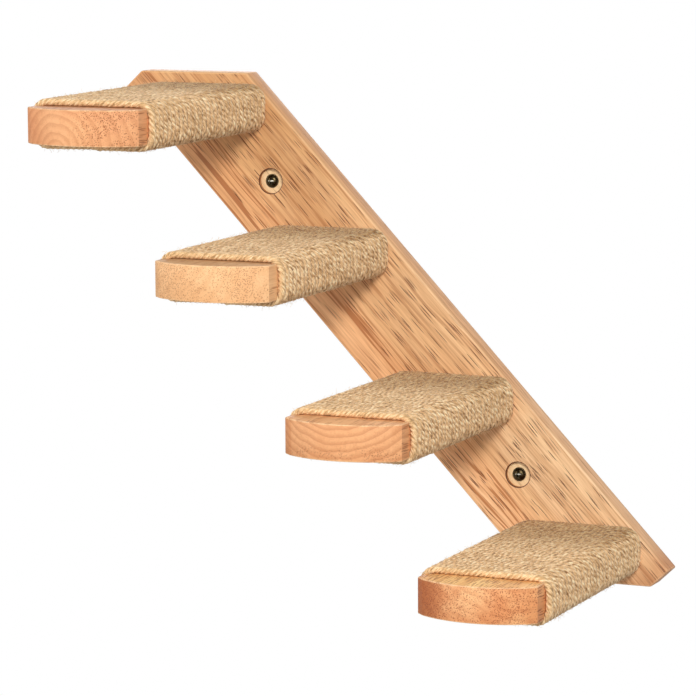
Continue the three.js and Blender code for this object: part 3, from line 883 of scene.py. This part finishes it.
def buildFuzz(name, route, centre, sizes, seed):
    chance = np.random.default_rng(seed)
    curve = bpy.data.curves.new(name, "CURVE")
    curve.dimensions = "3D"
    curve.bevel_depth = sizes["thickness"]
    curve.bevel_resolution = 0
    curve.use_fill_caps = True
    alongStep = np.array((0, 1, 0))
    flat = sizes["flatHalf"]
    for pick in chance.integers(sizes["freePoints"], len(route) - sizes["freePoints"], sizes["count"]):
        here = route[pick]
        tangent = route[pick + 1] - route[pick - 1]
        tangent /= np.linalg.norm(tangent)
        outward = np.cross(tangent, alongStep)
        outward *= np.sign(np.dot(outward, (here[0] - np.clip(here[0], -flat, flat), 0, here[2])) or 1)
        lean = chance.normal(0, sizes["lean"])
        heading = outward * chance.uniform(*sizes["rise"]) + alongStep * lean
        heading = heading + tangent * chance.normal(0, sizes["trail"])
        heading /= np.linalg.norm(heading)
        tilt = lean * sizes["startLean"]
        start = here + (outward * math.cos(tilt) + alongStep * math.sin(tilt)) * sizes["start"]
        length = chance.uniform(*sizes["length"]) * chance.uniform(*sizes["lengthShare"])
        spline = curve.splines.new("POLY")
        spline.points.add(sizes["points"] - 1)
        for point in spline.points:
            point.co = (*(start + np.array(centre)), 1)
            heading = heading + chance.normal(0, sizes["curl"], 3)
            heading /= np.linalg.norm(heading)
            start = start + heading * length / sizes["points"]
    fuzz = meshFromCurve(name, curve)
    startEdit(fuzz)
    bpy.ops.mesh.remove_doubles(threshold=sizes["mergeWithin"])
    endEdit()
    return fuzz


juteRope = ropeMaterial(ropeLook)
juteFibre = fuzzMaterial(fuzzLook)
for number, centre in enumerate(stepCentres, 1):
    rope, route = buildRope("rope_%d_wound" % number, centre, ropeSizes, number)
    finish(rope, [juteRope], ["rope_wrap_%d" % number], smoothUnder=180)
    fuzz = buildFuzz("rope_%d_fibres" % number, route, centre, fuzzSizes, fuzzSizes["firstSeed"] + number)
    finish(fuzz, [juteFibre], [], smoothUnder=180)
print("rope made")


# Screws

metalGrain = {
    "grime": (900, 900, 900),
    "grimeEdges": (0.45, 0.75),
    "scuff": (260, 2600, 260),
    "roughnessSpread": 0.22,
    "relief": (0.25, 0.0001),
    "specular": 0.5,
}


def metalMaterial(name, tone, worn, roughness):
    material, tree, shader = newMaterial(name)
    place = objectPlace(tree)
    grime = noise(tree, place, metalGrain["grime"], detail=3.0)
    scuff = noise(tree, place, metalGrain["scuff"])
    colour = blend(tree, spread(tree, grime, *metalGrain["grimeEdges"]), tone, worn)
    dress(tree, shader, dict(metalGrain, roughness=roughness), colour, scuff, grime)
    shader.inputs["Metallic"].default_value = 1.0
    return material


def inMetres(sizes):
    # from millimetres: the head is pairs, and the rest are single sizes
    mm = 0.001
    return {key: [(radius * mm, y * mm) for radius, y in value] if key == "head" else value * mm
            for key, value in sizes.items()}


wallScrewSizes = inMetres({
    "head": [(0, 0), (4.90, 0), (5.0, -0.1), (5.0, -0.6), (4.88, -0.74), (4.35, -0.80), (4.25, -0.95), (4.0, -1.4),
             (3.5, -1.95), (2.8, -2.42), (1.9, -2.77), (1.0, -2.94), (0, -3.0)],
    "headY": -15.0, "shankRadius": 2.5, "core": 1.75, "length": 50, "tip": 7, "pitch": 2.2, "plain": 8, "neck": 1,
    "recessHalf": 2.6, "recessWidth": 1.25, "recessDepth": 2.0, "recessTop": -3.1,
    "wearAndGlintReach": 2.64, "wearAndGlintTop": -2.4, "wearAndGlintBottom": -0.9,
})
stepScrewSizes = inMetres({
    "head": [(0, 2.9), (2.0, 2.9), (4.42, 0.42), (4.5, 0.3), (4.5, 0.1), (4.4, 0), (0, 0)],
    "headY": -0.5, "shankRadius": 2.25, "core": 1.6, "length": 55, "tip": 6, "pitch": 2.0, "plain": 16, "neck": 1,
    "recessHalf": 2.5, "recessWidth": 1.15, "recessDepth": 1.7, "recessTop": -0.1,
})
screwShares = {
    "recessFloor": 0.45,  # of the recess's width at its mouth
    "plainShank": 0.86,  # of the thread's radius
    "tipShoulder": 0.45,  # of the tip's length
    "toothHalf": 0.32,  # of the pitch
    "toothRoot": 0.9,  # of the core, so that the thread starts inside it
    "threadEnd": 0.12,  # of the thread's radius
}


def cutRecess(head, sizes):
    # a cross that narrows with depth
    narrow = screwShares["recessFloor"]
    for turn in (0, math.pi / 2):
        bar = addBlock("recess", (0, sizes["recessTop"] + sizes["recessDepth"] / 2, 0),
                       (2 * sizes["recessHalf"], sizes["recessDepth"], sizes["recessWidth"]), (0, turn, 0))
        startEdit(bar, "FACE", "DESELECT")
        shape = bmesh.from_edit_mesh(bar.data)
        for face in shape.faces:
            face.select_set(face.normal.y > 0.9)
        bmesh.update_edit_mesh(bar.data)
        bpy.ops.transform.resize(value=(narrow, 1, narrow), center_override=(0, 0, 0))
        endEdit()
        carve(head, [bar])


def buildThread(sizes):
    # one tooth, screwed along the core and thinned towards the tip
    core, pitch, plain, neck, length = (sizes[key] for key in ("core", "pitch", "plain", "neck", "length"))
    bpy.ops.object.select_all(action="DESELECT")
    bpy.ops.mesh.primitive_circle_add(vertices=3, radius=pitch, location=(core, plain, 0), fill_type="NOTHING")
    thread = newest("thread")
    settle(thread)
    half = pitch * screwShares["toothHalf"]
    root = core * screwShares["toothRoot"]
    tooth = sorted(thread.data.vertices, key=lambda point: point.co.x > core + half)
    for point, radius, y in zip(tooth, (root, root, sizes["shankRadius"]), (plain - half, plain + half, plain)):
        point.co = (radius, y, 0)
    screwing = thread.modifiers.new("thread", "SCREW")
    screwing.axis = "Y"
    screwing.screw_offset = pitch
    screwing.iterations = int((length - plain - neck) / pitch)
    screwing.steps = screwing.render_steps = 20
    screwing.use_merge_vertices = False
    pickOnly(thread)
    bpy.ops.object.modifier_apply(modifier=screwing.name)
    for point in thread.data.vertices:
        narrow = min(1, max(screwShares["threadEnd"], (length - point.co.y) / sizes["tip"]))
        point.co.x *= narrow
        point.co.z *= narrow
    # its two open ends get a face each
    startEdit(thread, "EDGE", "DESELECT")
    bpy.ops.mesh.select_non_manifold()
    bpy.ops.mesh.edge_face_add()
    bpy.ops.mesh.select_all(action="SELECT")
    bpy.ops.mesh.normals_make_consistent(inside=False)
    endEdit()
    return thread


def buildScrew(name, sizes, towards):
    # the shank runs from y = 0 towards plus or minus Y, out of a pan head or inside a sunk one
    head = turnProfile(name, sizes["head"], steps=64)
    cutRecess(head, sizes)
    core, plain, neck, length, tip = (sizes[key] for key in ("core", "plain", "neck", "length", "tip"))
    start, smooth = 0.0001, sizes["shankRadius"] * screwShares["plainShank"]
    shank = turnProfile("shank", [(0, start), (smooth, start), (smooth, plain), (core, plain + neck),
                                  (core, length - tip), (core / 2, length - tip * screwShares["tipShoulder"]),
                                  (0, length)])
    thread = buildThread(sizes)
    pickOnly(head)
    for part in (shank, thread):
        part.select_set(True)
    bpy.ops.object.join()
    if towards < 0:
        head.rotation_euler = (0, 0, math.pi)
        settle(head)
    return head


bronze = metalMaterial("dark bronze screw", tint(52, 44, 28), tint(104, 92, 64), 0.2)
# the recess's pale metal is partly wear from the driver and partly painted glints
wornAndGlintBronze = metalMaterial("bronze worn by the driver with painted glints", tint(226, 220, 204), tint(140, 126, 98), 0.16)
zinc = metalMaterial("yellow zinc screw", tint(196, 168, 104), tint(150, 132, 92), 0.3)
wallScrewPattern = buildScrew("wall screw", wallScrewSizes, 1)
for name, centre in wallHoles.items():
    middle = centre + Vector((0, wallScrewSizes["headY"], 0))
    screw = copyTo(wallScrewPattern, "wall_screw_%s_metal" % name, middle)
    finish(screw, [bronze, wornAndGlintBronze], ["wall_screw_%s" % name])
    # faces in the recess get the pale metal: wear and painted glints
    for face in screw.data.polygons:
        off = face.center - middle
        inRecess = wallScrewSizes["wearAndGlintTop"] < off.y < wallScrewSizes["wearAndGlintBottom"]
        if inRecess and off.xz.length < wallScrewSizes["wearAndGlintReach"]:
            face.material_index = 1
stepScrewPattern = buildScrew("step screw", stepScrewSizes, -1)
for number, centre in enumerate(stepCentres, 1):
    for side, way in (("left", -1), ("right", 1)):
        place = centre + Vector((way * layout["screwOffset"], stepScrewSizes["headY"], 0))
        screw = copyTo(stepScrewPattern, "step_screw_%d_%s_metal" % (number, side), place)
        finish(screw, [zinc], ["step_screw_%d_%s" % (number, side)])
for pattern in (wallScrewPattern, stepScrewPattern):
    bpy.data.objects.remove(pattern, do_unlink=True)
print("screws made")

# Dowels keep their shape and get beech wood
dowelLook = dict(plainStep, light=tint(232, 200, 156), mid=tint(224, 188, 142), dark=tint(196, 154, 106),
                 shift=(0, 0.3, 0.1), poreShare=0.3)
dowelWood = woodMaterial("dowel wood", dowelLook)
for name in frame["nodes"]:
    if name.startswith("step_dowel"):
        for slot in bpy.data.objects[name].material_slots:
            slot.material = dowelWood
print("dowels finished")


# Studio: pale floor, white surroundings, soft lamps

studio = {
    "floorHeight": -0.95,
    "floorRadius": 2.3,
    "floorGrey": 0.6,
    "floorRoughness": 0.9,
    "floorGloss": 0.1,
    "floorWhiteness": 0.8,  # how much of the floor that is seen is plain white
    "surroundings": 0.25,
    "lamps": {
        "key": {"place": (1.35, -2.2, 1.4), "size": 0.8, "power": 67},
        "fill": {"place": (-1.8, -2.0, 0.5), "size": 1.8, "power": 25},
        "back": {"place": (-0.9, 2.4, 0.9), "size": 1.6, "power": 32},
    },
    "aim": (0, -0.1, 0),
    "camera": {"place": (1.001507, -2.374302, 0.349583), "turn": (81.8363, 0.2925, 23.672), "lens": 185.735,
               "sensor": 36, "farEnd": 50},
}


def paleWhenSeen(tree, lit, white):
    # the camera, gloss and glass see plain white where the lit surface would be grey
    ray = addNode(tree, "ShaderNodeLightPath", {})
    seen = calc(tree, "MAXIMUM", ray.outputs["Is Camera Ray"], ray.outputs["Is Glossy Ray"])
    seen = calc(tree, "MAXIMUM", seen, ray.outputs["Is Transmission Ray"])
    return addNode(tree, "ShaderNodeMixShader", {0: seen, 1: lit, 2: white}).outputs[0]


def buildStudio(values):
    bpy.ops.object.select_all(action="DESELECT")
    bpy.ops.mesh.primitive_circle_add(vertices=96, radius=values["floorRadius"], fill_type="NGON",
                                      location=(0, 0, values["floorHeight"]))
    floor = newest("floor")
    settle(floor)
    material, tree, shader = newMaterial("pale floor")
    shader.inputs["Base Color"].default_value = (*[values["floorGrey"]] * 3, 1)
    shader.inputs["Roughness"].default_value = values["floorRoughness"]
    shader.inputs["Specular IOR Level"].default_value = values["floorGloss"]
    lit = shader.outputs[0]
    white = addNode(tree, "ShaderNodeEmission", {"Color": (1, 1, 1, 1), "Strength": 1.0}).outputs[0]
    mostly = addNode(tree, "ShaderNodeMixShader", {0: values["floorWhiteness"], 1: lit, 2: white}).outputs[0]
    tree.links.new(paleWhenSeen(tree, lit, mostly), tree.nodes["Material Output"].inputs[0])
    floor.data.materials.append(material)

    world = bpy.data.worlds.new("studio")
    bpy.context.scene.world = world
    world.use_nodes = True
    tree = world.node_tree
    dim = tree.nodes["Background"]
    dim.inputs["Color"].default_value = (1, 1, 1, 1)
    dim.inputs["Strength"].default_value = values["surroundings"]
    white = addNode(tree, "ShaderNodeBackground", {"Color": (1, 1, 1, 1), "Strength": 1.0}).outputs[0]
    tree.links.new(paleWhenSeen(tree, dim.outputs[0], white), tree.nodes["World Output"].inputs[0])

    for name, lamp in values["lamps"].items():
        light = bpy.data.lights.new(name, "AREA")
        light.size = lamp["size"]
        light.energy = lamp["power"]
        holder = addObject(name, light)
        holder.location = lamp["place"]
        beam = Vector(values["aim"]) - Vector(lamp["place"])
        holder.rotation_euler = beam.to_track_quat("-Z", "Y").to_euler()

    view = values["camera"]
    camera = addObject("camera", bpy.data.cameras.new("camera"))
    camera.location = view["place"]
    camera.rotation_euler = Euler([math.radians(angle) for angle in view["turn"]], "XYZ")
    camera.data.lens = view["lens"]
    camera.data.sensor_width = view["sensor"]
    camera.data.clip_end = view["farEnd"]
    bpy.context.scene.camera = camera
    bpy.context.scene.view_settings.view_transform = "Standard"


buildStudio(studio)
print("studio made")

bpy.context.view_layer.update()
